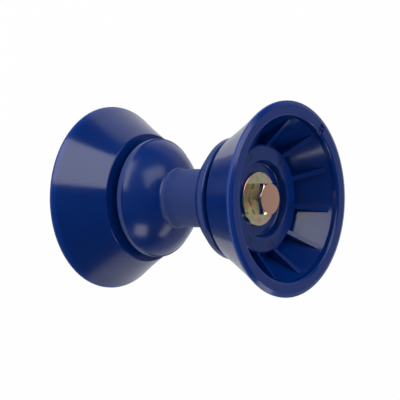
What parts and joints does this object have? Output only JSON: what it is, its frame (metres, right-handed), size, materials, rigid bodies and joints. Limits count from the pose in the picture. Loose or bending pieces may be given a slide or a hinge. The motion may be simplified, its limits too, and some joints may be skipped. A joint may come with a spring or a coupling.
{
  "type": "boat trailer roller",
  "caption": "Spool-shaped boat trailer roller between two flared, ribbed bells, all turning on one through bolt with washers and a lock nut.",
  "frame": {"origin": "centre of the lower bell's rim plane, where the roller stands when it is set on end", "axes": "+Z along the bolt from the lock nut to the head; +X and +Y across it, with two flats of the bolt's head facing +X and -X"},
  "size_m": [0.125, 0.125, 0.151],
  "materials": {
    "spool": "satin moulded thermoplastic rubber, deep blue",
    "bell": "glossy injection-moulded PVC, deep blue",
    "plated_steel": "zinc plated steel with yellow chromate",
    "nylon": "natural nylon"
  },
  "bodies": {
    "bolt": {"hex_bolt": "plated_steel", "head_washer": "plated_steel", "nut_washer": "plated_steel", "lock_nut": "plated_steel", "nut_insert": "nylon"},
    "spool": {"spool_roller": "spool"},
    "upper_bell": {"upper_bell": "bell"},
    "lower_bell": {"lower_bell": "bell"}
  },
  "joints": [
    {"name": "spool_spin", "type": "hinge", "parent": "bolt", "child": "spool", "pos_m": [0, 0, 0.0755], "axis": [0, 0, 1], "continuous": true},
    {"name": "upper_bell_spin", "type": "hinge", "parent": "bolt", "child": "upper_bell", "pos_m": [0, 0, 0.1246], "axis": [0, 0, 1], "continuous": true},
    {"name": "lower_bell_spin", "type": "hinge", "parent": "bolt", "child": "lower_bell", "pos_m": [0, 0, 0.0264], "axis": [0, 0, 1], "continuous": true}
  ]
}
